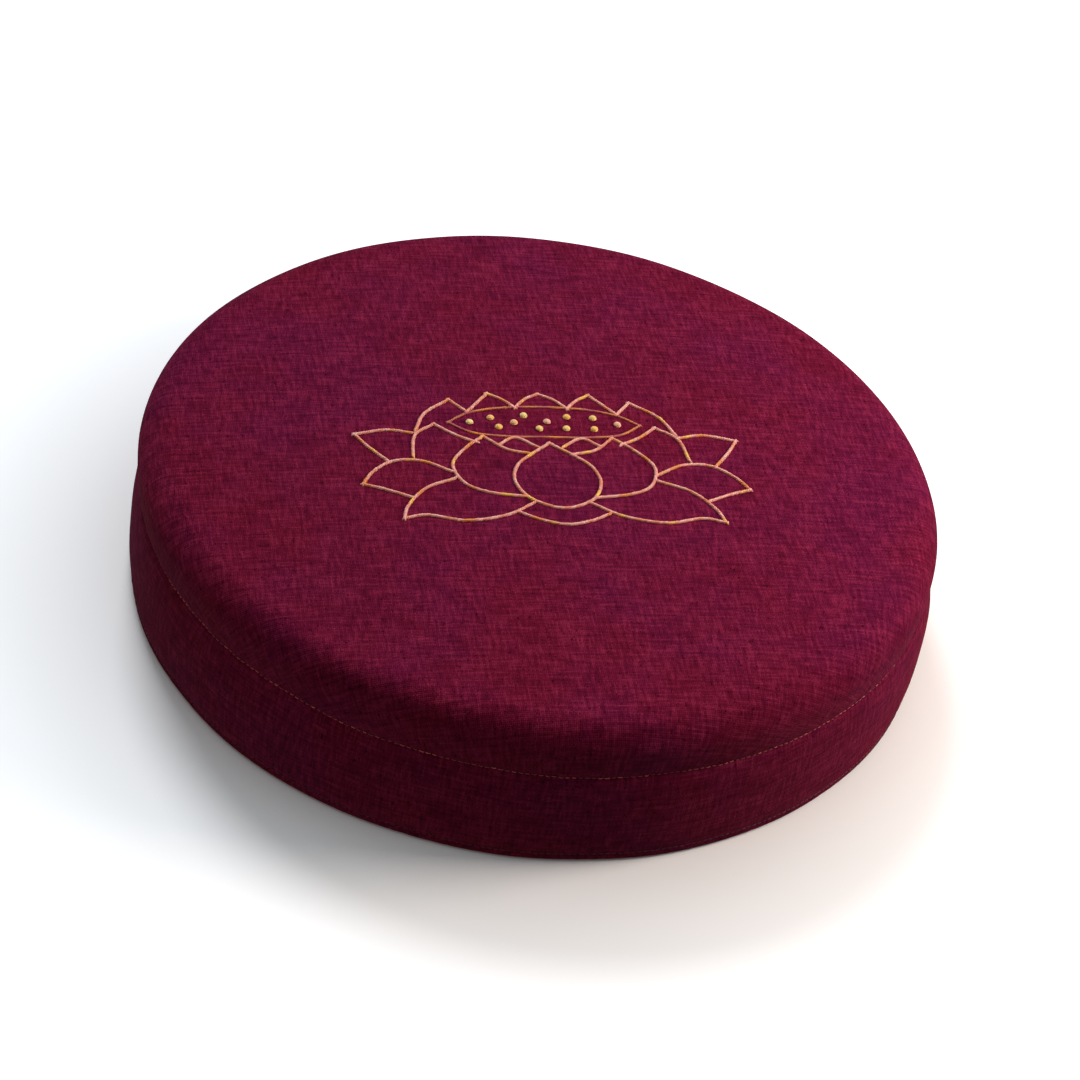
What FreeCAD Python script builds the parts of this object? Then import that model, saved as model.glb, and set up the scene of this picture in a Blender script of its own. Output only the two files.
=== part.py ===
"""A round floor cushion: an embroidered linen cover with a zip round its back, over a lined foam pad.

Millimetres, +Z up. The origin is on the floor under the cushion's centre. The lotus reads upright from -Y.
Angles round the cushion are measured from +X towards +Y, so the back is at 90 degrees.
"""
import FreeCAD, Part
import math
import os

V = FreeCAD.Vector
UP = V(0, 0, 1)
BASE = V(0, 0, 0)

# Cover
CUSHION_RADIUS = 200.0
CUSHION_HEIGHT = 88.0
CROWN_RISE = 4.0
TOP_EDGE_RADIUS = 17.0
BASE_EDGE_RADIUS = 5.0
SIDE_SEAM_Z = 53.0
CLOTH = 1.2
HEM_DEPTH = 2.8
SEAM_THREAD_RADIUS = 0.2
THREAD_GAP = 0.12
LAYER_GAP = 0.3

# Zip: an arc centred on the back, in the line of the side seam
ZIP_MIDDLE_DEG = 90.0
SLOT_HALF_DEG = 75.0
SLOT_HALF_HEIGHT = 4.5
FOLD_HEIGHT = 9.0
TAPE_OVERRUN_DEG = 2.5
TAPE_INNER_RADIUS = 196.6
TAPE_THICKNESS = 0.5
TAPE_WIDTH = 13.0
CHAIN_SPLIT = 0.45
COIL_HALF_WIDTH = 2.1
COIL_THICKNESS = 1.5
COIL_GAP = 0.1
STOP_SPAN_DEG = 0.6
STOP_PROUD = 0.25

# Slider and pull tab
SLIDER_LENGTH = 8.6
SLIDER_WIDTH = 6.2
SLIDER_WAIST = 4.6
SLIDER_SHOULDER = 1.075
SLIDER_CHAMFER = 0.7
SLIDER_NOSE_CHAMFER = 0.6
PLATE_THICKNESS = 0.9
INNER_PLATE_RADIUS = 195.4
OUTER_PLATE_RADIUS = 199.0
FLANGE_THICKNESS = 0.7
FLANGE_RADIUS = 197.5
DIVIDER_HALF_WIDTH = 0.2
DIVIDER_LENGTH = 1.6
LUG_WIDTH = 1.6
LUG_RADIUS = 1.15
LUG_ROOT = 0.4
PIN_RADIUS = 0.55
PIN_CLEARANCE = 0.07
PIN_RADIAL_PLACE = 201.0
TAB_LENGTH = 22.0
TAB_WIDTH = 5.6
TAB_THICKNESS = 1.0
KNUCKLE_RADIUS = 0.6
TAB_EYE_HALF_WIDTH = 1.0
TAB_NECK_WIDTH = 3.6
TAB_NECK_LENGTH = 4.0
TAB_HOLE_LENGTH = 7.0
TAB_HOLE_WIDTH = 2.2

# Embroidery
LINE_WIDTH = 1.7
LINE_HEIGHT = 0.8
KNOT_RADIUS = 1.75
KNOT_HEIGHT = 1.2
BACKING_LENGTH = 216.0
BACKING_WIDTH = 124.0
BACKING_CORNER = 15.0
BACKING_THICKNESS = 0.3
LOTUS_MIDDLE_Y = -6.5

# Pad
PAD_RADIUS = 194.5
PAD_HEIGHT = 85.6
PAD_TOP_EDGE = 14.0
PAD_BASE_EDGE = 4.0
LINER = 0.8
LINER_TOP_SEAM_Z = 66.0
LINER_BASE_SEAM_Z = 8.0
BASE_BOARD_TOP_Z = 12.0
CORE_TOP_Z = 56.0
COMFORT_TOP_Z = 75.0

BIG = 3 * CUSHION_RADIUS


def crown_radius(radius, rise, top_edge):
    """The crown's sphere, which meets the rounded top edge with no crease."""
    flat = radius - top_edge
    return top_edge + (flat * flat + rise * rise) / (2 * rise)


def cushion_form(radius, bottom, top, rise, base_edge, top_edge):
    """A turned solid: flat base, rounded base edge, upright wall, rounded top edge and a low crown."""
    sphere = crown_radius(radius, rise, top_edge)
    edge_centre = V(radius - top_edge, 0, top - rise - top_edge)
    sphere_centre = V(0, 0, top - sphere)
    outward = (edge_centre - sphere_centre).normalize()
    crown_start = sphere_centre + outward * sphere
    edge_middle = edge_centre + (outward + V(1, 0, 0)).normalize() * top_edge
    crown_lean = math.asin(crown_start.x / sphere) / 2
    crown_middle = sphere_centre + V(math.sin(crown_lean), 0, math.cos(crown_lean)) * sphere
    wall_top = V(radius, 0, edge_centre.z)
    wall_foot = V(radius, 0, bottom + base_edge)
    base_rim = V(radius - base_edge, 0, bottom)
    corner = base_edge * (1 - math.sqrt(0.5))
    base_middle = V(radius - corner, 0, bottom + corner)
    edges = [
        Part.makeLine(V(0, 0, bottom), base_rim),
        Part.Arc(base_rim, base_middle, wall_foot).toShape(),
        Part.makeLine(wall_foot, wall_top),
        Part.Arc(wall_top, edge_middle, crown_start).toShape(),
        Part.Arc(crown_start, crown_middle, V(0, 0, top)).toShape(),
        Part.makeLine(V(0, 0, top), V(0, 0, bottom)),
    ]
    return Part.Face(Part.Wire(edges)).revolve(BASE, UP, 360)


def cover_form(inset):
    """The cover's outer surface, moved in by an even distance."""
    return cushion_form(CUSHION_RADIUS - inset, inset, CUSHION_HEIGHT - inset, CROWN_RISE,
                        BASE_EDGE_RADIUS - inset, TOP_EDGE_RADIUS - inset)


def pad_form(inset):
    """The lined pad's outer surface, moved in by an even distance."""
    return cushion_form(PAD_RADIUS - inset, CLOTH + inset, PAD_HEIGHT - inset, CROWN_RISE,
                        PAD_BASE_EDGE - inset, PAD_TOP_EDGE - inset)


def slab(low, high):
    """Everything between two heights."""
    return Part.makeCylinder(BIG, high - low, V(0, 0, low), UP)


def ring(inner, outer, low, high, start_deg=0.0, span_deg=360.0):
    """A flat-sided ring, or a sector of one."""
    corners = [V(inner, 0, low), V(outer, 0, low), V(outer, 0, high), V(inner, 0, high), V(inner, 0, low)]
    section = Part.Face(Part.makePolygon(corners))
    section.rotate(BASE, UP, start_deg)
    return section.revolve(BASE, UP, span_deg)


def turned(shape, degrees):
    """A copy, turned about the cushion's upright axis."""
    copy = shape.copy()
    copy.rotate(BASE, UP, degrees)
    return copy


def arc_deg(length, radius):
    """The angle that a length takes up round the cushion."""
    return math.degrees(length / radius)


def save(node, shape):
    """One STEP file for each sub-part."""
    if not shape.isValid() or shape.Volume <= 0:
        raise ValueError(node + " is not a sound solid")
    shape.exportStep(os.path.join("parts", node + ".step"))
    print(f"{node}: {len(shape.Solids)} solid(s), {shape.Volume / 1000:.3f} cm3")


# Cover

SLOT_START = ZIP_MIDDLE_DEG - SLOT_HALF_DEG
SLOT_SPAN = 2 * SLOT_HALF_DEG
TAPE_START = SLOT_START - TAPE_OVERRUN_DEG
TAPE_SPAN = SLOT_SPAN + 2 * TAPE_OVERRUN_DEG
HEM_START = TAPE_START + TAPE_SPAN + 1
HEM_SPAN = 360 - TAPE_SPAN - 2
CLOTH_INNER = CUSHION_RADIUS - CLOTH


def fold_groove(height, start_deg, span_deg):
    """What two rounded folds of cloth leave between them where they meet at a seam."""
    square = ring(CLOTH_INNER, CUSHION_RADIUS + 1, height - CLOTH, height + CLOTH, start_deg, span_deg)
    for side in (-1, 1):
        fold = Part.makeTorus(CLOTH_INNER, CLOTH, V(0, 0, height + side * CLOTH), UP)
        square = square.cut(fold)
    return square


def seam_hem(height, side, start_deg, span_deg):
    """The seam allowance, which turns in behind a seam above it or below it."""
    low, high = sorted((height, height + side * CLOTH))
    return ring(CLOTH_INNER - HEM_DEPTH, CLOTH_INNER, low, high, start_deg, span_deg)


def slot_fold(side):
    """The cloth's edge at the zip, folded back on itself."""
    edge = SIDE_SEAM_Z + side * SLOT_HALF_HEIGHT
    low, high = sorted((edge, edge + side * FOLD_HEIGHT))
    return ring(CLOTH_INNER - CLOTH, CLOTH_INNER, low, high, SLOT_START, SLOT_SPAN)


def make_cover():
    """The three cloth panels, with a slot between the upper two for the zip."""
    shell = cover_form(0).cut(cover_form(CLOTH))
    slot = ring(CLOTH_INNER - 2 * CLOTH, CUSHION_RADIUS + 5, SIDE_SEAM_Z - SLOT_HALF_HEIGHT,
                SIDE_SEAM_Z + SLOT_HALF_HEIGHT, SLOT_START, SLOT_SPAN)
    side_groove = fold_groove(SIDE_SEAM_Z, SLOT_START + SLOT_SPAN, 360 - SLOT_SPAN)
    base_groove = fold_groove(BASE_EDGE_RADIUS, 0, 360)
    top = shell.common(slab(SIDE_SEAM_Z, CUSHION_HEIGHT + 1)).cut(slot).cut(side_groove)
    band = shell.common(slab(BASE_EDGE_RADIUS, SIDE_SEAM_Z)).cut(slot).cut(side_groove).cut(base_groove)
    base = shell.common(slab(-1, BASE_EDGE_RADIUS)).cut(base_groove)
    top = top.fuse([seam_hem(SIDE_SEAM_Z, 1, HEM_START, HEM_SPAN), slot_fold(1)])
    band_hems = [
        seam_hem(SIDE_SEAM_Z, -1, HEM_START, HEM_SPAN),
        seam_hem(BASE_EDGE_RADIUS, 1, 0, 360),
        slot_fold(-1),
    ]
    save("cover_top_panel", top.removeSplitter())
    save("cover_side_band", band.fuse(band_hems).removeSplitter())
    save("cover_base_panel", base.fuse(seam_hem(BASE_EDGE_RADIUS, -1, 0, 360)).removeSplitter())


def make_seam_threads():
    """The stitching, which lies in the groove of each seam."""
    reach = CLOTH + SEAM_THREAD_RADIUS + THREAD_GAP
    centre_radius = CLOTH_INNER + math.sqrt(reach * reach - CLOTH * CLOTH)
    whole = Part.makeTorus(centre_radius, SEAM_THREAD_RADIUS, V(0, 0, BASE_EDGE_RADIUS), UP)
    circle = Part.makeCircle(SEAM_THREAD_RADIUS, V(centre_radius, 0, SIDE_SEAM_Z), V(0, 1, 0))
    section = Part.Face(Part.Wire(circle))
    section.rotate(BASE, UP, SLOT_START + SLOT_SPAN)
    save("side_seam_thread", section.revolve(BASE, UP, 360 - SLOT_SPAN))
    save("base_seam_thread", whole)


# Zip

TAPE_OUTER = TAPE_INNER_RADIUS + TAPE_THICKNESS
COIL_INNER = TAPE_OUTER + COIL_GAP
COIL_OUTER = COIL_INNER + COIL_THICKNESS
STOP_MARGIN_DEG = 1.0
CHAIN_START = SLOT_START + STOP_MARGIN_DEG
CHAIN_SPAN = SLOT_SPAN - 2 * STOP_MARGIN_DEG
SLIDER_DEG = arc_deg(SLIDER_LENGTH, OUTER_PLATE_RADIUS)
REST_DEG = CHAIN_START + STOP_SPAN_DEG + 0.3 + SLIDER_DEG / 2


def make_zip_tapes_and_coils():
    """Two tapes, each with a row of coil along its edge, closed along the middle of the slot."""
    for name, side in (("upper", 1), ("lower", -1)):
        tape = sorted((SIDE_SEAM_Z + side * CHAIN_SPLIT, SIDE_SEAM_Z + side * TAPE_WIDTH))
        coil = sorted((SIDE_SEAM_Z + side * CHAIN_SPLIT, SIDE_SEAM_Z + side * COIL_HALF_WIDTH))
        start = CHAIN_START + STOP_SPAN_DEG
        span = CHAIN_SPAN - 2 * STOP_SPAN_DEG
        save("zip_tape_" + name, ring(TAPE_INNER_RADIUS, TAPE_OUTER, *tape, TAPE_START, TAPE_SPAN))
        save("zip_coil_" + name, ring(COIL_INNER, COIL_OUTER, *coil, start, span))


def make_zip_stops():
    """A small clamp across both coils at each end of the chain."""
    half = COIL_HALF_WIDTH + STOP_PROUD
    low, high = SIDE_SEAM_Z - half, SIDE_SEAM_Z + half
    for name, start in (("closed", CHAIN_START), ("open", CHAIN_START + CHAIN_SPAN - STOP_SPAN_DEG)):
        stop = ring(COIL_INNER, COIL_OUTER + STOP_PROUD, low, high, start, STOP_SPAN_DEG)
        save("zip_stop_" + name, stop)


def upright_outline(points, low, high):
    """A prism through the wall at +X. Points are (along, up) from the middle of the slider."""
    wire = Part.makePolygon([V(low, along, SIDE_SEAM_Z + up) for along, up in points + points[:1]])
    return Part.Face(wire).extrude(V(high - low, 0, 0))


def rounded_box(along, up, radius, low, high, middle_along=0.0):
    """A block through the wall at +X, with its four corners rounded."""
    block = Part.makeBox(high - low, along, up, V(low, middle_along - along / 2, SIDE_SEAM_Z - up / 2))
    edges = [e for e in block.Edges if abs(e.BoundBox.XLength - (high - low)) < 1e-6]
    return block.makeFillet(radius, edges)


def make_slider():
    """The slider, built at +X: two curved plates joined by the divider, with a lug for the tab."""
    half_length = SLIDER_LENGTH / 2
    half_width = SLIDER_WIDTH / 2
    half_waist = SLIDER_WAIST / 2
    span = SLIDER_DEG + 1
    upper_outline = [
        (half_length, half_waist - SLIDER_NOSE_CHAMFER / 2),
        (half_length - SLIDER_NOSE_CHAMFER, half_waist + SLIDER_NOSE_CHAMFER / 2),
        (SLIDER_SHOULDER, half_width),
        (-half_length + SLIDER_CHAMFER, half_width),
        (-half_length, half_width - SLIDER_CHAMFER),
    ]
    lower_outline = [(along, -up) for along, up in reversed(upper_outline)]
    outline = upright_outline(lower_outline + upper_outline, INNER_PLATE_RADIUS - 5, OUTER_PLATE_RADIUS + 5)
    low, high = SIDE_SEAM_Z - half_width, SIDE_SEAM_Z + half_width
    outer_top = OUTER_PLATE_RADIUS + PLATE_THICKNESS
    inner_plate = ring(INNER_PLATE_RADIUS, INNER_PLATE_RADIUS + PLATE_THICKNESS, low, high, -span / 2, span)
    outer_plate = ring(OUTER_PLATE_RADIUS, outer_top, low, high, -span / 2, span)
    body = [inner_plate.common(outline), outer_plate.common(outline)]
    flange_start = -arc_deg(half_length, FLANGE_RADIUS)
    flange_span = arc_deg(half_length + SLIDER_SHOULDER, FLANGE_RADIUS)
    flange_inside = half_width - FLANGE_THICKNESS
    for side in (-1, 1):
        edge = sorted((SIDE_SEAM_Z + side * half_width, SIDE_SEAM_Z + side * flange_inside))
        flange = ring(FLANGE_RADIUS, OUTER_PLATE_RADIUS, *edge, flange_start, flange_span)
        body.append(flange.common(outline))
    divider_deg = arc_deg(DIVIDER_LENGTH, OUTER_PLATE_RADIUS)
    divider_start = -SLIDER_DEG / 2 + 0.1
    divider_low, divider_high = SIDE_SEAM_Z - DIVIDER_HALF_WIDTH, SIDE_SEAM_Z + DIVIDER_HALF_WIDTH
    body.append(ring(INNER_PLATE_RADIUS + PLATE_THICKNESS, OUTER_PLATE_RADIUS, divider_low, divider_high,
                     divider_start, divider_deg))
    lug_low = SIDE_SEAM_Z - LUG_WIDTH / 2
    lug_foot = Part.makeBox(PIN_RADIAL_PLACE - outer_top + LUG_ROOT, 2 * LUG_RADIUS, LUG_WIDTH,
                            V(outer_top - LUG_ROOT, -LUG_RADIUS, lug_low))
    lug_head = Part.makeCylinder(LUG_RADIUS, LUG_WIDTH, V(PIN_RADIAL_PLACE, 0, lug_low), UP)
    bore = Part.makeCylinder(PIN_RADIUS + PIN_CLEARANCE, SLIDER_WIDTH,
                             V(PIN_RADIAL_PLACE, 0, SIDE_SEAM_Z - half_width), UP)
    lug = lug_foot.fuse(lug_head).cut(bore)
    whole = body[0].fuse(body[1:] + [lug]).removeSplitter()
    save("zip_slider_body", turned(whole, REST_DEG))


def make_pull_tab():
    """The tab, built at +X: a plate with an eye round the slider's lug and a pin through the lug."""
    low = PIN_RADIAL_PLACE - TAB_THICKNESS / 2
    high = PIN_RADIAL_PLACE + TAB_THICKNESS / 2
    grip_start = TAB_NECK_LENGTH - 1.0
    grip = rounded_box(TAB_LENGTH - grip_start, TAB_WIDTH, 1.8, low, high, (TAB_LENGTH + grip_start) / 2)
    window_middle = TAB_LENGTH - TAB_HOLE_LENGTH / 2 - 2.2
    window = rounded_box(TAB_HOLE_LENGTH, TAB_HOLE_WIDTH, 1.0, low - 1, high + 1, window_middle)
    neck_low = SIDE_SEAM_Z - TAB_NECK_WIDTH / 2
    neck = Part.makeBox(TAB_THICKNESS, TAB_NECK_LENGTH, TAB_NECK_WIDTH, V(low, 0, neck_low))
    knuckle = Part.makeCylinder(KNUCKLE_RADIUS, TAB_NECK_WIDTH, V(PIN_RADIAL_PLACE, 0, neck_low), UP)
    eye = Part.makeBox(4.0, 2 * LUG_RADIUS + 1.6, 2 * TAB_EYE_HALF_WIDTH,
                       V(PIN_RADIAL_PLACE - 2, -LUG_RADIUS - 0.4, SIDE_SEAM_Z - TAB_EYE_HALF_WIDTH))
    pin = Part.makeCylinder(PIN_RADIUS, TAB_NECK_WIDTH, V(PIN_RADIAL_PLACE, 0, neck_low), UP)
    tab = grip.fuse([neck, knuckle]).cut(eye).cut(window).fuse(pin).removeSplitter()
    save("zip_pull_tab", turned(tab, REST_DEG))


# Embroidery: the right half of the lotus seen from the front, as (across, up) points on smooth lines

LOTUS_SHIFT = (1.0, -2.0)
STROKES = [
    [(50.5, -23.5), (66.5, -31.5), (77.0, -45.5), (79.5, -54.0)],
    [(79.5, -54.0), (69.0, -51.5), (50.0, -55.5), (28.5, -51.0), (14.0, -41.5)],
    [(51.5, -18.7), (66.0, -10.4), (80.0, -10.6), (91.0, -19.0), (96.8, -28.4)],
    [(96.8, -28.4), (87.0, -32.0), (74.0, -38.2)],
    [(67.5, 11.4), (80.0, 14.0), (97.0, 10.5)],
    [(97.0, 10.5), (91.0, 0.5), (82.3, -11.0)],
    [(32.8, 9.5), (42.0, 1.0), (50.8, -13.0), (46.5, -27.5), (36.0, -34.0), (18.2, -37.2)],
    [(32.8, 9.5), (22.0, -0.6), (11.0, -3.8)],
    [(56.3, 19.0), (66.5, 10.5), (69.8, -7.0)],
    [(56.3, 19.0), (46.0, 10.0), (36.5, 4.5)],
    [(46.3, 39.1), (60.0, 27.5), (66.4, 13.0)],
    [(46.3, 39.1), (38.3, 29.1)],
    [(26.1, 44.6), (38.3, 29.1)],
    [(26.1, 44.6), (19.0, 39.8), (13.4, 33.1)],
    [(0.0, 44.8), (7.0, 40.6), (13.4, 33.1)],
    [(25.5, 3.0), (17.0, 8.8), (6.5, 1.6)],
]
CENTRED_STROKES = [
    [(0.0, -45.6), (15.7, -38.4), (21.5, -25.0), (18.5, -13.0), (10.0, -4.0), (0.0, 4.6)],
    [(0.0, -57.8), (12.2, -54.8), (22.5, -49.2)],
    [(0.0, 34.0), (24.0, 32.3), (38.5, 28.0), (49.0, 20.5)],
    [(0.0, 9.6), (22.0, 9.8), (38.0, 12.6), (49.0, 20.5)],
]
SEEDS = [
    (-38.0, 20.7), (-27.0, 24.4), (-23.7, 17.1), (-15.5, 20.9), (-9.8, 26.7), (-3.2, 16.2),
    (1.4, 21.9), (12.2, 26.0), (10.7, 16.6), (25.5, 25.5), (24.9, 16.6), (37.4, 20.7),
]
BAND_STEPS = 16


def mirrored(points):
    return [(-across, up) for across, up in points]


def band_face(line, start, end):
    """A flat band of the line's width along a stretch of a smooth line, with round ends."""
    sides = ([], [])
    for step in range(BAND_STEPS + 1):
        place = start + (end - start) * step / BAND_STEPS
        across = UP.cross(line.tangent(place)[0]).normalize() * (LINE_WIDTH / 2)
        sides[0].append(line.value(place) + across)
        sides[1].append(line.value(place) - across)
    left, right = Part.BSplineCurve(), Part.BSplineCurve()
    left.interpolate(sides[0])
    right.interpolate(sides[1])
    end_tip = line.value(end) + line.tangent(end)[0].normalize() * (LINE_WIDTH / 2)
    start_tip = line.value(start) - line.tangent(start)[0].normalize() * (LINE_WIDTH / 2)
    end_cap = Part.Arc(sides[0][-1], end_tip, sides[1][-1]).toShape()
    start_cap = Part.Arc(sides[1][0], start_tip, sides[0][0]).toShape()
    return Part.Face(Part.Wire([left.toShape(), end_cap, right.toShape(), start_cap]))


def stroke_bands(points, stretches=1):
    """The bands that draw one smooth line through the points, in that many stretches."""
    line = Part.BSplineCurve()
    line.interpolate([V(across, up, 0) for across, up in points])
    span = (line.LastParameter - line.FirstParameter) / stretches
    starts = [line.FirstParameter + span * count for count in range(stretches)]
    return [band_face(line, start, start + span) for start in starts]


def on_crown(prism, low, high):
    """What a prism has between two distances above the top cloth's crown."""
    sphere = crown_radius(CUSHION_RADIUS, CROWN_RISE, TOP_EDGE_RADIUS)
    middle = V(0, 0, CUSHION_HEIGHT - sphere)
    outer = Part.makeSphere(sphere + high, middle)
    inner = Part.makeSphere(sphere + low, middle)
    return prism.common(outer).cut(inner)


def make_embroidery():
    """The outline's thread, the seeds' knots and the stabiliser cloth behind them."""
    faces = []
    for points in STROKES:
        faces += stroke_bands(points) + stroke_bands(mirrored(points))
    for points in CENTRED_STROKES:
        faces += stroke_bands(mirrored(points[:0:-1]) + points, 2)
    prisms = [face.extrude(V(0, 0, 3 * CROWN_RISE)) for face in faces]
    drawing = prisms[0].fuse(prisms[1:])
    drawing.translate(V(*LOTUS_SHIFT, CUSHION_HEIGHT - 2 * CROWN_RISE))
    save("lotus_outline", on_crown(drawing, 0, LINE_HEIGHT))
    knots = []
    for seed_across, seed_up in SEEDS:
        across, up = seed_across + LOTUS_SHIFT[0], seed_up + LOTUS_SHIFT[1]
        dome = (KNOT_RADIUS * KNOT_RADIUS + KNOT_HEIGHT * KNOT_HEIGHT) / (2 * KNOT_HEIGHT)
        foot = crown_height(across, up)
        ball = Part.makeSphere(dome, V(across, up, foot + KNOT_HEIGHT - dome))
        knots.append(on_crown(ball, 0, 2 * KNOT_HEIGHT))
    save("lotus_seed_knots", Part.makeCompound(knots))
    left = LOTUS_SHIFT[0] - BACKING_LENGTH / 2
    front = LOTUS_SHIFT[1] + LOTUS_MIDDLE_Y - BACKING_WIDTH / 2
    corner = V(left, front, CUSHION_HEIGHT - 2 * CROWN_RISE)
    sheet = Part.makeBox(BACKING_LENGTH, BACKING_WIDTH, 3 * CROWN_RISE, corner)
    corners = [e for e in sheet.Edges if e.BoundBox.ZLength > CROWN_RISE]
    sheet = sheet.makeFillet(BACKING_CORNER, corners)
    top = -CLOTH - LAYER_GAP
    save("embroidery_backing", on_crown(sheet, top - BACKING_THICKNESS, top))


def crown_height(across, up):
    """The height of the cover's crown over a place on the floor."""
    sphere = crown_radius(CUSHION_RADIUS, CROWN_RISE, TOP_EDGE_RADIUS)
    return CUSHION_HEIGHT - sphere + math.sqrt(sphere * sphere - across * across - up * up)


# Pad

def make_pad():
    """The sewn lining and the layers that fill it."""
    lining = pad_form(0).cut(pad_form(LINER))
    save("liner_top_panel", lining.common(slab(LINER_TOP_SEAM_Z, PAD_HEIGHT + 1)))
    save("liner_side_band", lining.common(slab(LINER_BASE_SEAM_Z, LINER_TOP_SEAM_Z)))
    save("liner_base_panel", lining.common(slab(0, LINER_BASE_SEAM_Z)))
    inset = LINER + LAYER_GAP
    bottom = CLOTH + LINER
    filling = cushion_form(PAD_RADIUS - inset, bottom, PAD_HEIGHT - inset, CROWN_RISE,
                           PAD_BASE_EDGE - inset, PAD_TOP_EDGE - inset)
    save("foam_base_layer", filling.common(slab(0, BASE_BOARD_TOP_Z)))
    save("foam_core", filling.common(slab(BASE_BOARD_TOP_Z, CORE_TOP_Z)))
    save("foam_comfort_layer", filling.common(slab(CORE_TOP_Z, COMFORT_TOP_Z)))
    save("wadding_crown", filling.common(slab(COMFORT_TOP_Z, PAD_HEIGHT)))


os.makedirs("parts", exist_ok=True)
make_cover()
make_seam_threads()
make_zip_tapes_and_coils()
make_zip_stops()
make_slider()
make_pull_tab()
make_embroidery()
make_pad()
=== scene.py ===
"""A round floor cushion in wine-red linen, with a lotus embroidered in outline and a zip round the back."""
import math
import bpy
import numpy as np
from mathutils import Matrix, Vector
from mathutils.bvhtree import BVHTree


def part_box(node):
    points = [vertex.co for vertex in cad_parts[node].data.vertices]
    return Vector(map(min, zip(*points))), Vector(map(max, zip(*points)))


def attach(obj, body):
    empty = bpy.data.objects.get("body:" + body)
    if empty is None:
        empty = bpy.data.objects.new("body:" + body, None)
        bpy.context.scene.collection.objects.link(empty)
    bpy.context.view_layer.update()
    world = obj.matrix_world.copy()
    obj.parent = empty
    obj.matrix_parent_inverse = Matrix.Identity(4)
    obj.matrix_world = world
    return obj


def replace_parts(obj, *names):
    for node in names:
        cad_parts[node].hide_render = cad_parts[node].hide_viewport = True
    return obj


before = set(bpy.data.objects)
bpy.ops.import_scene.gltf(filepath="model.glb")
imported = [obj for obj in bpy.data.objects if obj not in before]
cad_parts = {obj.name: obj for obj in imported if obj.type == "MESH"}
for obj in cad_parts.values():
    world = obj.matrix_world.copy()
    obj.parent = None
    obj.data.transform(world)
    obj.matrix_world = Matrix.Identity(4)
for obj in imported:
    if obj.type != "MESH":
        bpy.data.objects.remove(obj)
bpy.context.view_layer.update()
MM = 0.001
rng = np.random.default_rng(7)

# Sizes from the frame, in metres
CUSHION = "cushion"
TOP_LOW, TOP_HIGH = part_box("cover_top_panel")
BASE_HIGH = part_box("cover_base_panel")[1]
RADIUS = (TOP_HIGH[0] - TOP_LOW[0]) / 2
HEIGHT = TOP_HIGH[2]
SIDE_SEAM_Z = TOP_LOW[2]
BASE_SEAM_Z = BASE_HIGH[2]
TAPE_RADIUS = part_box("zip_tape_upper")[1][1]

# Sizes of the cloth form
CROWN_RISE = 4 * MM
TOP_EDGE = 17 * MM
BASE_EDGE = 3 * MM
CLOTH = 1.1 * MM
FINE = 720

SEAM_DEPTH = 1.4 * MM
BULGE_OVER_SEAM = 1.6 * MM
BULGE_UNDER_SEAM = 1.7 * MM
UNDER_RISE = 18 * MM
FOOT_SPREAD = 20 * MM
# Fuller or flatter patches of the wall: how much, and the middle and half width in degrees
PATCHES_OVER_SEAM = [(-0.8 * MM, 5, 35)]
PATCHES_UNDER_SEAM = [(2.6 * MM, -14, 20), (1.3 * MM, -145, 30)]
SLACK = 1.0 * MM
INFLATE_CAP = 2.2 * MM
SWELL = 0.5
LUMP = 1.0 * MM
PUCKER = 1.2 * MM

# The zip's slot, in degrees from +X towards +Y
SLOT_START, SLOT_END = 15.0, 165.0
SLOT_HALF = 4.5 * MM
SLOT_EASE = 2.0


# Form of the cushion

class Profile:
    """The cushion's outline from middle to middle: crown, top edge, wall, foot and base."""

    def __init__(self, radius, bottom, top, rise, base_edge, top_edge):
        flat = radius - top_edge
        self.sphere = top_edge + (flat * flat + rise * rise) / (2 * rise)
        self.edge_r, self.edge_z = flat, top - rise - top_edge
        self.sphere_z = top - self.sphere
        self.lean = math.atan2(flat, self.edge_z - self.sphere_z)
        self.top_edge, self.base_edge = top_edge, base_edge
        self.radius, self.bottom = radius, bottom
        self.crown_length = self.sphere * self.lean
        self.edge_length = top_edge * (math.pi / 2 - self.lean)
        self.wall_start = self.crown_length + self.edge_length
        self.wall_length = self.edge_z - bottom - base_edge
        self.foot_start = self.wall_start + self.wall_length
        self.foot_length = base_edge * math.pi / 2
        self.base_start = self.foot_start + self.foot_length
        self.length = self.base_start + radius - base_edge

    def at(self, s):
        """(r, z, normal r, normal z) at a distance along the outline."""
        if s < self.crown_length:
            a = s / self.sphere
            nr, nz = math.sin(a), math.cos(a)
            return self.sphere * nr, self.sphere_z + self.sphere * nz, nr, nz
        if s < self.wall_start:
            a = self.lean + (s - self.crown_length) / self.top_edge
            nr, nz = math.sin(a), math.cos(a)
            return self.edge_r + self.top_edge * nr, self.edge_z + self.top_edge * nz, nr, nz
        if s < self.foot_start:
            return self.radius, self.edge_z - (s - self.wall_start), 1.0, 0.0
        if s < self.base_start:
            a = (s - self.foot_start) / self.base_edge
            nr, nz = math.cos(a), -math.sin(a)
            middle_r, middle_z = self.radius - self.base_edge, self.bottom + self.base_edge
            return middle_r + self.base_edge * nr, middle_z + self.base_edge * nz, nr, nz
        return max(self.radius - self.base_edge - (s - self.base_start), 0.0), self.bottom, 0.0, -1.0

    def s_at_wall(self, z):
        """The distance along the outline to a height on the wall."""
        return self.wall_start + self.edge_z - z


OUTLINE = Profile(RADIUS, 0.0, HEIGHT, CROWN_RISE, BASE_EDGE, TOP_EDGE)


def new_object(name, data):
    piece = bpy.data.objects.new(name, data)
    bpy.context.collection.objects.link(piece)
    return piece


def new_mesh(name, verts, faces):
    mesh = bpy.data.meshes.new(name)
    mesh.from_pydata(verts, [], faces)
    return mesh


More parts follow.
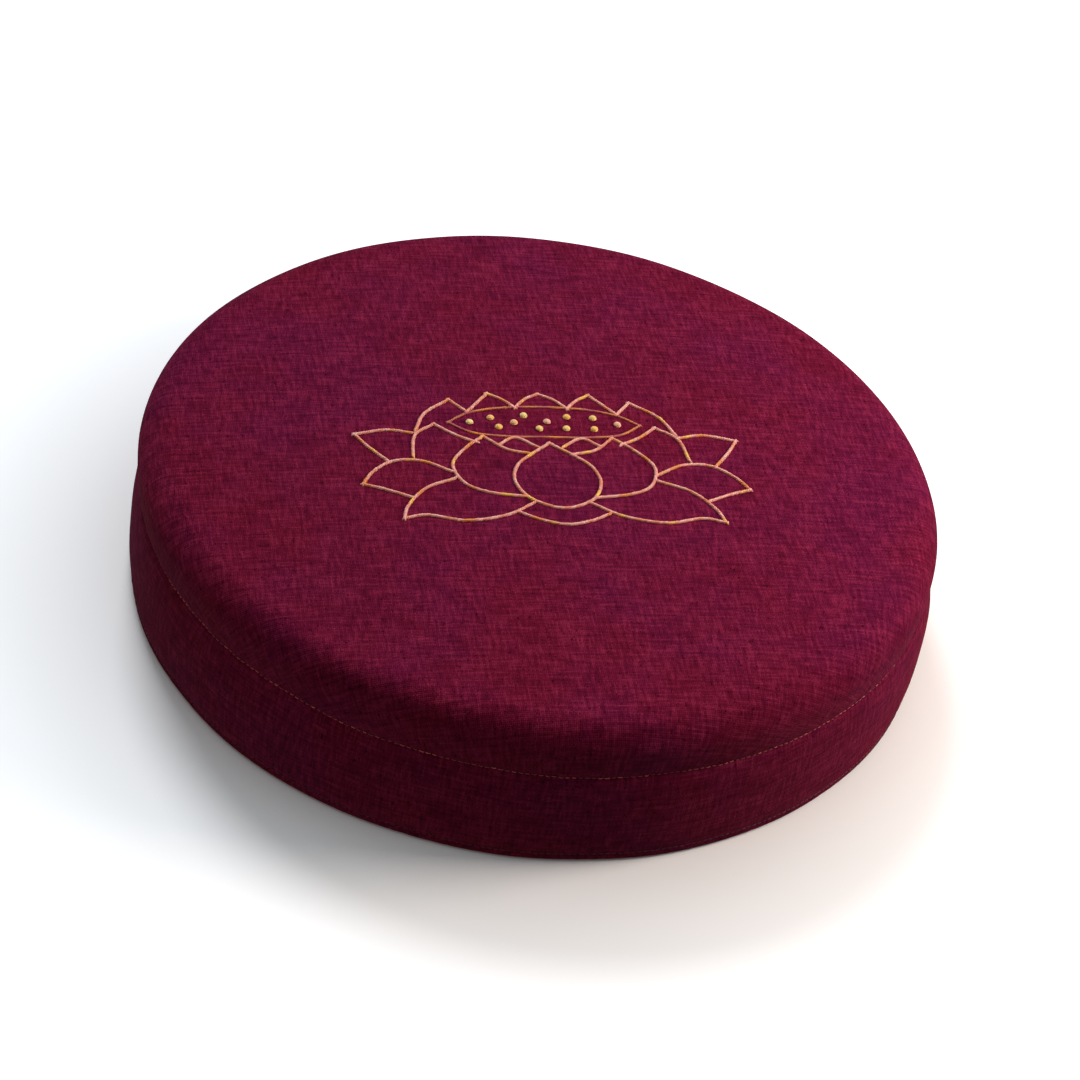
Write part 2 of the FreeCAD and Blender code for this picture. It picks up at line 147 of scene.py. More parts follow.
def smooth_shade(mesh):
    mesh.polygons.foreach_set("use_smooth", [True] * len(mesh.polygons))
    mesh.update()


def angles(count):
    return np.arange(count) * 2 * math.pi / count


def circle(radial, turn, z):
    """Points round the cushion's axis."""
    return np.stack([radial * np.cos(turn), radial * np.sin(turn), z + 0 * turn], axis=1)


def unit(vectors):
    return vectors / np.linalg.norm(vectors, axis=-1, keepdims=True)


def lathe(rings, closed=False):
    """Faces between rings of points. Each ring is (points, distance along the cloth), with as many points as
    the ring before it, twice or half as many, or one. Returns vertices, faces, and for each face corner the
    angle round the cushion and the distance along the cloth."""
    verts, faces, corners, starts = [], [], [], []
    for points, _ in rings:
        starts.append(len(verts))
        verts.extend(map(tuple, points))
    for a in range(len(rings) if closed else len(rings) - 1):
        b = (a + 1) % len(rings)
        na, nb = len(rings[a][0]), len(rings[b][0])

        def corner(ring, k):
            count = len(rings[ring][0])
            spokes = count if count > 1 else max(na, nb)
            return starts[ring] + math.floor(k) % count, 2 * math.pi * k / spokes, rings[ring][1]

        step_a, step_b = 2 if na == 2 * nb else 1, 2 if nb == 2 * na else 1
        for j in range(min(na, nb) if min(na, nb) > 1 else max(na, nb)):
            if na == 1:
                loop = [corner(a, j + 0.5), corner(b, j), corner(b, j + 1)]
            elif nb == 1:
                loop = [corner(a, j), corner(b, j + 0.5), corner(a, j + 1)]
            else:
                loop = [corner(a, step_a * j)]
                loop += [corner(b, step_b * j + k) for k in range(step_b + 1)]
                loop += [corner(a, step_a * j + k) for k in range(step_a, 0, -1)]
            faces.append([vertex for vertex, _, _ in loop])
            corners.extend((turn, s) for _, turn, s in loop)
    return verts, faces, np.array(corners)


def cloth_object(name, rings, polar, closed=False):
    """A piece of cloth from rings. Each corner keeps its place on the flat cloth, for the weave."""
    verts, faces, corners = lathe(rings, closed)
    mesh = new_mesh(name, verts, faces)
    if polar:
        turn, reach = corners.T
        flat = np.stack([reach * np.cos(turn), reach * np.sin(turn)], axis=1)
    else:
        flat = np.stack([corners[:, 0] * RADIUS, corners[:, 1]], axis=1)
    weave = mesh.attributes.new("weave", "FLOAT_VECTOR", "CORNER")
    weave.data.foreach_set("vector", np.pad(flat, ((0, 0), (0, 1))).ravel())
    smooth_shade(mesh)
    return new_object(name, mesh)


# The cloth simulation that swells the cover
BAG_STEP = 5 * MM
BAG_SECTORS = 180
BAG_FLOOR = 0.5 * MM
HELD_BESIDE_SEAM = 3 * MM
HELD_IN_FROM_WALL = 20 * MM
BLOWING_FRAMES = 20
CLOTH_SETTINGS = {
    "quality": 6, "mass": 0.25, "tension_stiffness": 20, "compression_stiffness": 20, "shear_stiffness": 8,
    "bending_stiffness": 1.2, "use_pressure": True, "uniform_pressure_force": 4, "vertex_group_mass": "held",
}


def inflated_form():
    """The whole cover as a cloth bag blown up a little, held at its seams and over the pad's top edge."""
    small = Profile(RADIUS - SLACK, BAG_FLOOR, HEIGHT - SLACK, CROWN_RISE,
                    BASE_EDGE - SLACK, TOP_EDGE - SLACK)
    rings = []
    for s in np.arange(0.0, small.length, BAG_STEP):
        r, z, _, _ = small.at(s)
        rings.append((circle(r, angles(1 if s == 0 else BAG_SECTORS), z), s))
    rings.append((np.array([[0.0, 0.0, small.bottom]]), small.length))
    verts, faces, _ = lathe(rings)
    bag = new_object("bag", new_mesh("bag", verts, faces))
    remesh = bag.modifiers.new("remesh", "REMESH")
    remesh.mode = "VOXEL"
    remesh.voxel_size = BAG_STEP
    apply_modifiers(bag)
    start = points_of(bag)
    radial = np.hypot(start[:, 0], start[:, 1])
    height = start[:, 2]
    at_seam = (np.abs(height - SIDE_SEAM_Z) < HELD_BESIDE_SEAM) & (radial > RADIUS - HELD_IN_FROM_WALL)
    at_edge = (height > OUTLINE.edge_z + TOP_EDGE / 3) & (radial > OUTLINE.edge_r + TOP_EDGE / 3)
    held = bag.vertex_groups.new(name="held")
    held.add(np.nonzero(at_seam | at_edge | (height < BASE_SEAM_Z))[0].tolist(), 1.0, "REPLACE")
    cloth = bag.modifiers.new("cloth", "CLOTH")
    for setting, value in CLOTH_SETTINGS.items():
        setattr(cloth.settings, setting, value)
    cloth.settings.effector_weights.gravity = 0
    cloth.point_cache.frame_start = 1
    cloth.point_cache.frame_end = BLOWING_FRAMES
    for step in range(1, BLOWING_FRAMES + 1):
        bpy.context.scene.frame_set(step)
    apply_modifiers(bag)
    bpy.context.scene.frame_set(1)
    moved = points_of(bag) - start
    far = np.linalg.norm(moved, axis=1, keepdims=True)
    set_points(bag, start + moved * np.minimum(1.0, INFLATE_CAP / np.maximum(far, 1e-9)))
    soften = bag.modifiers.new("soften", "SMOOTH")
    soften.factor = 0.5
    soften.iterations = 8
    apply_modifiers(bag)
    depsgraph = bpy.context.evaluated_depsgraph_get()
    tree = BVHTree.FromObject(bag, depsgraph)
    bpy.data.objects.remove(bag)
    return tree


def apply_modifiers(piece):
    depsgraph = bpy.context.evaluated_depsgraph_get()
    mesh = bpy.data.meshes.new_from_object(piece.evaluated_get(depsgraph), depsgraph=depsgraph)
    piece.modifiers.clear()
    piece.data = mesh


def points_of(piece):
    flat = np.empty(len(piece.data.vertices) * 3)
    piece.data.vertices.foreach_get("co", flat)
    return flat.reshape(-1, 3)


def set_points(piece, points):
    piece.data.vertices.foreach_set("co", points.ravel())
    piece.data.update()


BAG = inflated_form()


# Cloth panels

def round_waves(angle, counts, seed):
    """A smooth irregular line: a sum of sines, each with its own phase, that closes round the cushion where
    the counts are whole numbers."""
    draw = np.random.default_rng(seed)
    total = np.zeros_like(angle)
    for count in counts:
        total += np.sin(angle * count + draw.uniform(0, 2 * math.pi)) * draw.uniform(0.6, 1.0)
    return total / len(counts)


def slot_open(angle):
    """How far the slot for the zip is open at an angle: 0 outside it and 1 along it."""
    deg = np.degrees(angle) % 360
    inside = np.minimum(deg - SLOT_START, SLOT_END - deg)
    t = np.clip(inside / SLOT_EASE, 0.0, 1.0)
    return t * t * (3 - 2 * t)


def puckers(angle, reach, seed):
    """The small gathers beside a seam, which fade with distance from it."""
    gathers = round_waves(angle, (67, 97, 131, 173, 211), seed)
    patches = 0.55 + 0.75 * round_waves(angle, (7, 11, 17), seed + 1)
    return gathers * patches * PUCKER * math.exp(-(reach / (5 * MM)) ** 1.3)


def seam_pull(reach):
    """How far a seam draws the cloth in, at a distance from it."""
    return SEAM_DEPTH * (0.5 * math.exp(-(reach / (4 * MM)) ** 2) + math.exp(-reach / (0.9 * MM)))


LOOK_FROM = 20 * MM


def bag_offset(r, z, nr, nz, angle):
    """How far the blown-up bag stands out from the outline, at one place."""
    normal = Vector((nr * math.cos(angle), nr * math.sin(angle), nz))
    start = Vector((r * math.cos(angle), r * math.sin(angle), z)) + normal * LOOK_FROM
    hit = BAG.ray_cast(start, -normal, 2 * LOOK_FROM)[0]
    return LOOK_FROM - (start - hit).length if hit is not None else 0.0


def between(s, start, end):
    """The share of the way from start to end, kept from 0 to 1."""
    return min(max((s - start) / (end - start), 0.0), 1.0)


def patches(turn, spots):
    """How much the filling stands out or sinks in patches round the wall."""
    total = 0 * turn
    for amount, middle, width in spots:
        away = (np.degrees(turn) - middle + 180) % 360 - 180
        total = total + amount * np.exp(-(away / width) ** 2)
    return total


def lumps(s, turn):
    """The filling's unevenness and the wall's bulges over and under the side seam."""
    edge = between(s, OUTLINE.crown_length * 0.55, OUTLINE.crown_length)
    high = round_waves(turn, (2, 3, 5, 9, 14), 3)
    low = round_waves(turn, (2, 4, 7, 11, 17), 5)
    share = between(s, OUTLINE.crown_length, OUTLINE.base_start)
    seam = OUTLINE.s_at_wall(SIDE_SEAM_Z)
    over = math.sin(math.pi * between(s, OUTLINE.crown_length, seam)) ** 1.5
    rise = between(s, seam, seam + UNDER_RISE)
    under = rise * rise * (3 - 2 * rise)
    return (LUMP * edge * (high * (1 - share) + low * share)
            + over * (BULGE_OVER_SEAM + patches(turn, PATCHES_OVER_SEAM))
            + under * (BULGE_UNDER_SEAM + patches(turn, PATCHES_UNDER_SEAM)))


OFFSET_ANGLES = 144
OFFSET_STEP = 4 * MM


def offset_table():
    """The bag's swell and the hand-sewn cover's lumps on an even grid over the outline, smoothed."""
    turn = angles(OFFSET_ANGLES)
    table = []
    for s in np.arange(0.0, OUTLINE.length, OFFSET_STEP):
        place = OUTLINE.at(s)
        swell = np.array([bag_offset(*place, a) for a in turn]) + SLACK
        table.append(swell * SWELL + lumps(s, turn))
    table = np.array(table)
    for _ in range(2):
        table = (np.roll(table, 1, 1) + 2 * table + np.roll(table, -1, 1)) / 4
        middle = (table[:-2] + 2 * table[1:-1] + table[2:]) / 4
        table = np.concatenate([table[:1], middle, table[-1:]])
    return table


OFFSETS = offset_table()


def offset_at(s, angle):
    """The bag's offset at a distance along the outline and an angle round the cushion."""
    row = np.clip(np.asarray(s) / OFFSET_STEP, 0, len(OFFSETS) - 1.001)
    low = np.floor(row).astype(int)
    turn = (np.asarray(angle) / (2 * math.pi) % 1.0) * OFFSET_ANGLES
    first = np.floor(turn).astype(int) % OFFSET_ANGLES
    second = (first + 1) % OFFSET_ANGLES
    share, part = turn - np.floor(turn), row - low
    lower = OFFSETS[low, first] * (1 - share) + OFFSETS[low, second] * share
    upper = OFFSETS[low + 1, first] * (1 - share) + OFFSETS[low + 1, second] * share
    return lower * (1 - part) + upper * part


def ring_on_outline(s, count, inset=0.0):
    """One ring of cloth at a distance along the outline, with the bag's shape, moved in by inset.
    The foot spreads level, so that the base stays flat on the floor."""
    r, z, nr, nz = OUTLINE.at(s)
    turn = angles(count)
    out = offset_at(s, turn) * (1 - between(s, OUTLINE.foot_start, OUTLINE.base_start + FOOT_SPREAD))
    across, up = (1.0, 0.0) if s > OUTLINE.foot_start else (nr, nz)
    return circle(r + across * out - nr * inset, turn, z + up * out - nz * inset)


def draw_in(points, depth):
    """Moves points towards the cushion's upright axis."""
    radial = np.hypot(points[:, 0], points[:, 1])
    scale = (radial - depth) / np.maximum(radial, 1e-9)
    return np.stack([points[:, 0] * scale, points[:, 1] * scale, points[:, 2]], axis=1)


# Distances of the rings of cloth from a seam, and the steps (inwards, then back along the wall) of its hem
SEAM_STEPS = [x * MM for x in (14, 12.2, 10.6, 9.2, 7.9, 6.7, 5.6, 4.6, 3.7, 2.9,
                               2.2, 1.6, 1.1, 0.7, 0.4, 0.2, 0)]
BASE_SEAM_STEPS = [x * MM for x in (7.5, 6.6, 5.7, 4.9, 4.1, 3.3, 2.6, 1.9, 1.2, 0.7, 0.35, 0)]
FOLD = [(0.5 * MM, -0.12 * MM), (CLOTH, 0.25 * MM), (CLOTH + 0.3 * MM, 1.2 * MM)]
LONG_HEM = FOLD + [(CLOTH + 0.3 * MM, 7 * MM)]
SHORT_HEM = FOLD + [(CLOTH + 0.7 * MM, 1.8 * MM)]
TURNED_EDGE = 0.5 * MM


def seam_rings(seam_s, side, steps, shift, free, gather, seed, hem=LONG_HEM, depth=1.0):
    """Rings down (side 1) or up (side -1) to a seam, then round the fold and a little way back inside.
    shift moves the edge up, free says where the edge is the slot's and not sewn, and gather and depth scale
    the puckers and the pull."""
    turn, rings = angles(FINE), []
    for reach in steps:
        points = ring_on_outline(seam_s - side * reach, FINE)
        turned_edge = TURNED_EDGE * math.exp(-reach / (0.8 * MM))
        pull = seam_pull(reach) * depth * (1 - free) + turned_edge * free
        points = draw_in(points, pull - puckers(turn, reach, seed) * gather * (1 - 0.7 * free))
        points[:, 2] += shift * (1 - reach / steps[0])
        rings.append((points, seam_s - side * reach))
    edge = rings[-1][0]
    for inside, rise in hem:
        points = draw_in(edge, inside)
        points[:, 2] += side * np.where(rise < 0, rise * free, rise)
        rings.append((points, seam_s + side * (inside + abs(rise))))
    return rings


def inner_rings(places):
    """Rings of the cloth's inner face, from (distance along the outline in millimetres, count of points)."""
    return [(ring_on_outline(s * MM, count, CLOTH), s * MM) for s, count in places]


TURN = angles(FINE)
OPEN = slot_open(TURN)
WANDER = round_waves(TURN, (5, 8, 13, 21), 11) * 0.9 * MM * (1 - OPEN)
BASE_WANDER = round_waves(TURN, (4, 7, 12), 12) * 0.4 * MM
NEVER = np.zeros(FINE)
SIDE_SEAM_S = OUTLINE.s_at_wall(SIDE_SEAM_Z)
BASE_SEAM_S = OUTLINE.s_at_wall(BASE_SEAM_Z)
TOP_EDGE_RINGS = seam_rings(SIDE_SEAM_S, 1, SEAM_STEPS, WANDER + SLOT_HALF * OPEN, OPEN, 1.0, 31)
BAND_TOP_RINGS = seam_rings(SIDE_SEAM_S, -1, SEAM_STEPS, WANDER - SLOT_HALF * OPEN, OPEN, 0.6, 41)
BASE_SEAM = (BASE_SEAM_STEPS, BASE_WANDER, NEVER, 0.25)
BAND_FOOT_RINGS = seam_rings(BASE_SEAM_S, 1, *BASE_SEAM, 51, LONG_HEM, 0.35)
BASE_EDGE_RINGS = seam_rings(BASE_SEAM_S, -1, *BASE_SEAM, 61, SHORT_HEM, 0.35)


def make_top_panel():
    """The top cloth, from the middle of its face to the side seam and back along its inner face."""
    rings = [(ring_on_outline(0.0, 1), 0.0)]
    for reach, count, step in ((12, 45, 4), (24, 90, 4), (60, 180, 4), (120, 360, 3), (178, 360, 3)):
        for s in np.arange(rings[-1][1] + step * MM, reach * MM, step * MM):
            rings.append((ring_on_outline(s, count), s))
    for s in np.arange(178 * MM, SIDE_SEAM_S - SEAM_STEPS[0] - 1 * MM, 1.6 * MM):
        rings.append((ring_on_outline(s, FINE), s))
    rings += TOP_EDGE_RINGS
    rings += inner_rings([(214, 360), (207, 180), (202, 180), (196, 180), (190, 90), (183, 90), (140, 90),
                          (90, 45), (45, 45)])
    rings.append((np.array([[0.0, 0.0, HEIGHT - CLOTH + offset_at(0.0, 0.0)]]), 0.5))
    return cloth_object("top_panel", rings, polar=True)


def make_side_band():
    """The side cloth, a closed loop of rings: side seam, outer face, base seam and inner face."""
    rings = BAND_TOP_RINGS[::-1]
    low = SIDE_SEAM_S + SEAM_STEPS[0]
    high = BASE_SEAM_S - BASE_SEAM_STEPS[0]
    count = round((high - low) / (2.5 * MM))
    for step in range(1, count):
        s = low + (high - low) * step / count
        rings.append((ring_on_outline(s, FINE), s))
    rings += BAND_FOOT_RINGS
    inner_high, inner_low = (BASE_SEAM_S / MM - 12, SIDE_SEAM_S / MM + 10)
    rings += inner_rings([(inner_high, 360), (inner_high - 6, 180), (inner_low + 6, 180), (inner_low, 360)])
    return cloth_object("side_band", rings, polar=False, closed=True)


def make_base_panel():
    """The base cloth, from the middle of its underside to the base seam and back along its inner face."""
    rings = [(np.array([[0.0, 0.0, 0.0]]), OUTLINE.length)]
    end = OUTLINE.length
    for reach, count, step in ((16, 45, 8), (40, 90, 8), (90, 180, 8), (170, 360, 6)):
        start = (end - rings[-1][1]) + step * MM
        for back in np.arange(start, reach * MM, step * MM):
            rings.append((ring_on_outline(end - back, count), end - back))
    for s in np.arange(end - 172 * MM, BASE_SEAM_S + BASE_SEAM_STEPS[0] + 0.8 * MM, -1.8 * MM):
        rings.append((ring_on_outline(s, FINE), s))
    rings += BASE_EDGE_RINGS
    edge = OUTLINE.base_start / MM
    rings += inner_rings([(edge - 4, 360), (edge, 180), (edge + 8, 90), (edge + 60, 90), (edge + 120, 45)])
    rings.append((np.array([[0.0, 0.0, CLOTH]]), end - 0.5))
    return cloth_object("base_panel", rings, polar=True)


# Thread

def run_of(points):
    """The distance along a line at each of its points."""
    return np.concatenate([[0.0], np.cumsum(np.linalg.norm(np.diff(points, axis=0), axis=1))])


def places_on(points, run, at):
    """The places at some distances along a line."""
    return np.stack([np.interp(at, run, column) for column in points.T], axis=1)


def smooth_line(points, pitch):
    """Places, directions and distances at an even pitch on a smooth (Catmull-Rom) line through points."""
    points = np.array(points, float)
    ends = np.concatenate([[2 * points[0] - points[1]], points, [2 * points[-1] - points[-2]]])
    fine = []
    for a, b, c, d in zip(ends, ends[1:], ends[2:], ends[3:]):
        spans = [max(np.linalg.norm(q - p), 1e-9) ** 0.5 for p, q in ((a, b), (b, c), (c, d))]
        knots = np.cumsum([0.0] + spans)
        for t in np.linspace(knots[1], knots[2], 40, endpoint=False):
            def part(p, q, i, j):
                return (p * (knots[j] - t) + q * (t - knots[i])) / (knots[j] - knots[i])

            ab, bc, cd = part(a, b, 0, 1), part(b, c, 1, 2), part(c, d, 2, 3)
            fine.append(part(part(ab, bc, 0, 2), part(bc, cd, 1, 3), 1, 2))
    fine = np.array(fine + [points[-1]])
    run = run_of(fine)
    at = np.linspace(0.0, run[-1], max(2, round(run[-1] / pitch) + 1))
    places = places_on(fine, run, at)
    return places, unit(np.gradient(places, axis=0)), at


STITCH_STATIONS = (-1.0, -0.88, -0.6, -0.2, 0.2, 0.6, 0.88, 1.0)


def stitches(name, middles, along, up, length, radius, tone, arch=0.0, sides=8):
    """One mesh of many short threads, round, narrow at the ends and arched by a share of their length.
    tone is a number for each stitch, kept at its corners for the thread's colour."""
    middles, along, up = (np.asarray(x, float) for x in (middles, along, up))
    across = unit(np.cross(up, along))
    rise = np.cross(along, across)
    count, stations = len(middles), len(STITCH_STATIONS)
    half = np.broadcast_to(np.asarray(length, float) / 2, (count,))[:, None]
    thick = np.broadcast_to(np.asarray(radius, float), (count,))[:, None]
    verts = np.empty((count, stations, sides, 3))
    for k, t in enumerate(STITCH_STATIONS):
        centre = middles + along * half * t + rise * half * arch * (1 - 2 * t * t)
        size = thick * max(1 - abs(t) ** 5, 0.04) ** 0.5
        for j in range(sides):
            a = 2 * math.pi * j / sides
            verts[:, k, j] = centre + (across * math.cos(a) + rise * math.sin(a)) * size
    faces = []
    for n in range(count):
        first = n * stations * sides
        for k in range(stations - 1):
            for j in range(sides):
                a, b = first + k * sides + j, first + k * sides + (j + 1) % sides
                faces.append((a, b, b + sides, a + sides))
        faces.append(tuple(first + j for j in reversed(range(sides))))
        faces.append(tuple(first + (stations - 1) * sides + j for j in range(sides)))
    mesh = new_mesh(name, verts.reshape(-1, 3).tolist(), faces)
    shade = mesh.attributes.new("tone", "FLOAT", "POINT")
    shade.data.foreach_set("value", np.repeat(np.broadcast_to(tone, (count,)), stations * sides))
    smooth_shade(mesh)
    return new_object(name, mesh)


def ring_stitches(name, points, length, pitch, radius, proud, keep, tones=(0.3, 1.0)):
    """Running stitches along a ring of points, where keep says so, some deeper in the seam than others."""
    closed = np.concatenate([points, points[:1]])
    run = run_of(closed)
    count = round(run[-1] / pitch)
    at = (np.arange(count) + 0.5) * run[-1] / count
    places = places_on(closed, run, at)
    along = unit(places_on(closed, run, (at + 1 * MM) % run[-1]) - places)
    radial = unit(places * (1, 1, 0))
    turn = np.arctan2(places[:, 1], places[:, 0])
    kept = keep(turn)
    lift = proud * (1 + 1.1 * round_waves(turn[kept], (7, 13, 29, 61), 71))[:, None]
    places, along, radial = places[kept] + radial[kept] * lift, along[kept], radial[kept]
    jitter = rng.normal(0, 0.04, (len(places), 1)) * np.array([[0, 0, 1.0]])
    tone = rng.uniform(*tones, len(places))
    lengths = length * rng.uniform(0.75, 1.1, len(places))
    return stitches(name, places, along + jitter, radial, lengths, radius, tone, arch=0.12)


def make_seam_threads():
    """The stitches in the two seams, and a row beside each edge of the slot to hold the zip's tapes."""
    def sewn(angle):
        return slot_open(angle) < 0.02

    def beside_slot(angle):
        return slot_open(angle) > 0.5

    def everywhere(angle):
        return np.ones_like(angle, dtype=bool)

    def edge_of(rings, steps):
        return rings[len(steps) - 1][0]

    side = (edge_of(TOP_EDGE_RINGS, SEAM_STEPS) + edge_of(BAND_TOP_RINGS, SEAM_STEPS)) / 2
    base = (edge_of(BAND_FOOT_RINGS, BASE_SEAM_STEPS) + edge_of(BASE_EDGE_RINGS, BASE_SEAM_STEPS)) / 2
    beside_edge = SEAM_STEPS.index(2.9 * MM)
    # Each row's stitch length, pitch, thread radius, height over the cloth and place, and its tones
    zip_row = (2.5 * MM, 3.0 * MM, 0.22 * MM, 0.1 * MM, beside_slot)
    side_row = (2.7 * MM, 3.1 * MM, 0.25 * MM, 0.4 * MM, sewn)
    # The base row keeps to the seam thread's darkest tones: painted shade at the cushion's foot.
    base_row_in_painted_shade = (2.6 * MM, 3.1 * MM, 0.2 * MM, 0.1 * MM, everywhere, (0.0, 0.1))
    pieces = [
        ring_stitches("side_seam_stitches", side, *side_row),
        ring_stitches("base_seam_stitches", base, *base_row_in_painted_shade),
        ring_stitches("zip_stitches_upper", TOP_EDGE_RINGS[beside_edge][0], *zip_row),
        ring_stitches("zip_stitches_lower", BAND_TOP_RINGS[beside_edge][0], *zip_row),
    ]
    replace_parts(pieces[0], "side_seam_thread")
    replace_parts(pieces[1], "base_seam_thread")
    return pieces


# Embroidery: the right half of the lotus, in millimetres across and up, as smooth lines pass through

LOTUS_SHIFT = (1.0, -2.0)
STROKES = [
    [(50.5, -23.5), (66.5, -31.5), (77.0, -45.5), (79.5, -54.0)],
    [(79.5, -54.0), (69.0, -51.5), (50.0, -55.5), (28.5, -51.0), (14.0, -41.5)],
    [(51.5, -18.7), (66.0, -10.4), (80.0, -10.6), (91.0, -19.0), (96.8, -28.4)],
    [(96.8, -28.4), (87.0, -32.0), (74.0, -38.2)],
    [(67.5, 11.4), (80.0, 14.0), (97.0, 10.5)],
    [(97.0, 10.5), (91.0, 0.5), (82.3, -11.0)],
    [(32.8, 9.5), (42.0, 1.0), (50.8, -13.0), (46.5, -27.5), (36.0, -34.0), (18.2, -37.2)],
    [(32.8, 9.5), (22.0, -0.6), (11.0, -3.8)],
    [(56.3, 19.0), (66.5, 10.5), (69.8, -7.0)],
    [(56.3, 19.0), (46.0, 10.0), (36.5, 4.5)],
    [(46.3, 39.1), (60.0, 27.5), (66.4, 13.0)],
    [(46.3, 39.1), (38.3, 29.1)],
    [(26.1, 44.6), (38.3, 29.1)],
    [(26.1, 44.6), (19.0, 39.8), (13.4, 33.1)],
    [(0.0, 44.8), (7.0, 40.6), (13.4, 33.1)],
    [(25.5, 3.0), (17.0, 8.8), (6.5, 1.6)],
]
PETAL_STROKES = [
    [(0.0, -45.6), (15.7, -38.4), (21.5, -25.0), (18.5, -13.0), (10.0, -4.0), (0.0, 4.6)],
    [(0.0, -57.8), (12.2, -54.8), (22.5, -49.2)],
]
POD_STROKES = [
    [(0.0, 34.0), (24.0, 32.3), (38.5, 28.0), (49.0, 20.5)],
    [(0.0, 9.6), (22.0, 9.8), (38.0, 12.6), (49.0, 20.5)],
]
SEEDS = [
    (-38.0, 20.7), (-27.0, 24.4), (-23.7, 17.1), (-15.5, 20.9), (-9.8, 26.7), (-3.2, 16.2),
    (1.4, 21.9), (12.2, 26.0), (10.7, 16.6), (25.5, 25.5), (24.9, 16.6), (37.4, 20.7),
]


def on_crown(across, up):
    """The place and the upward direction on the top cloth, from a place on the drawing in millimetres."""
    x, y = (across + LOTUS_SHIFT[0]) * MM, (up + LOTUS_SHIFT[1]) * MM
    r = np.hypot(x, y)
    z = OUTLINE.sphere_z + np.sqrt(OUTLINE.sphere ** 2 - r * r)
    z = z + offset_at(r, np.arctan2(y, x))
    normal = np.stack([x, y, z - OUTLINE.sphere_z], axis=-1)
    return np.stack([x, y, z], axis=-1), unit(normal)


STEM_RADIUS = 0.57 * MM
STEM_LENGTH = 3.1 * MM
STEM_LIFT = 0.22 * MM
STEM_PITCH = 1.25
STEM_SLANT = math.radians(24)
SILK_LENGTHS = (13.0, 21.0, 37.0)


def stem_stitch(name, lines, weight, seed):
    """Lines in stem stitch: short slanted threads that overlap, in silks that change along each line."""
    middles, alongs, ups, tones = [], [], [], []
    ahead, aside = math.cos(STEM_SLANT), math.sin(STEM_SLANT)
    for number, line in enumerate(lines):
        places, along, at = smooth_line(line, STEM_PITCH)
        middle, up = on_crown(places[:, 0], places[:, 1])
        turned = np.stack([along[:, 0] * ahead - along[:, 1] * aside,
                           along[:, 0] * aside + along[:, 1] * ahead, 0 * at], axis=1)
        turned = unit(turned - up * np.sum(turned * up, axis=1, keepdims=True))
        turned += rng.normal(0, 0.05, turned.shape)
        middles.append(middle + up * STEM_LIFT + rng.normal(0, 0.04 * MM, middle.shape))
        alongs.append(unit(turned))
        ups.append(up)
        drift = round_waves(at, [2 * math.pi / length for length in SILK_LENGTHS], seed + number)
        tone = 0.5 + 0.75 * drift + rng.normal(0, 0.06, len(at))
        tones.append(np.clip(tone, 0, 1))
    middles, alongs, ups, tones = (np.concatenate(part) for part in (middles, alongs, ups, tones))
    length, radius = STEM_LENGTH * weight ** 0.5, STEM_RADIUS * weight
    return stitches(name, middles, alongs, ups, length, radius, tones, arch=0.16)


def mirrored(stroke):
    return [(-x, y) for x, y in stroke]


def make_outline():
    """The lotus: its petals in full thread and the rim of its seed pod in a finer one."""
    petals = [side for stroke in STROKES for side in (stroke, mirrored(stroke))]
    petals += [mirrored(stroke[:0:-1]) + stroke for stroke in PETAL_STROKES]
    rim = [mirrored(stroke[:0:-1]) + stroke for stroke in POD_STROKES]
    outline = stem_stitch("lotus_stitches", petals, 1.0, 100)
    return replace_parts(outline, "lotus_outline"), stem_stitch("pod_stitches", rim, 0.74, 200)


KNOT_TURNS = 3.2
KNOT_RADIUS = 1.95 * MM
KNOT_THREAD = 0.42 * MM
KNOT_STITCH = 1.7 * MM
KNOT_FOOT, KNOT_RISE = 0.15 * MM, 1.0 * MM
KNOT_STEPS = 25


def make_seed_knots():
    """Twelve knots, each a thread wound up into a small dome."""
    middles, alongs, ups, tones = [], [], [], []
    for number, (across, up_place) in enumerate(SEEDS):
        centre, up = on_crown(np.array([across]), np.array([up_place]))
        tone = 0.5 + 0.5 * math.sin(number * 2.4)
        for step in range(KNOT_STEPS + 1):
            t = step / KNOT_STEPS
            turn = KNOT_TURNS * 2 * math.pi * t + number
            reach = (KNOT_RADIUS - KNOT_THREAD) * math.cos(t * math.pi / 2) ** 0.8
            lift = KNOT_FOOT + KNOT_RISE * math.sin(t * math.pi / 2)
            middles.append(centre[0] + np.array([reach * math.cos(turn), reach * math.sin(turn), lift]))
            alongs.append([-math.sin(turn), math.cos(turn), 0.12])
            ups.append(up[0])
            tones.append(min(max(tone + rng.normal(0, 0.05), 0), 1))
    knots = stitches("seed_knots", middles, alongs, ups, KNOT_STITCH, KNOT_THREAD, np.array(tones), arch=0.1)
    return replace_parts(knots, "lotus_seed_knots")


# Zip

COIL_PITCH = 1.15 * MM
COIL_REACH = (-0.35 * MM, 2.1 * MM)
COIL_WIRE = 0.3 * MM
COIL_RADIUS = TAPE_RADIUS + 0.82 * MM
SEWING_Z = 1.45 * MM
SEWING_LIFT = 0.42 * MM
SEWING_RADIUS = 0.14 * MM
CHAIN_START, CHAIN_END = math.radians(16.7), math.radians(163.3)


def along_chain(spacing, phase):
    """Even places on the zip's arc: their angles, and the directions outwards and along the arc."""
    count = round((CHAIN_END - CHAIN_START) * COIL_RADIUS / spacing)
    turn = CHAIN_START + (np.arange(count) + phase) * (CHAIN_END - CHAIN_START) / count
    outward = np.stack([np.cos(turn), np.sin(turn), 0 * turn], axis=1)
    return turn, outward, np.stack([-np.sin(turn), np.cos(turn), 0 * turn], axis=1)


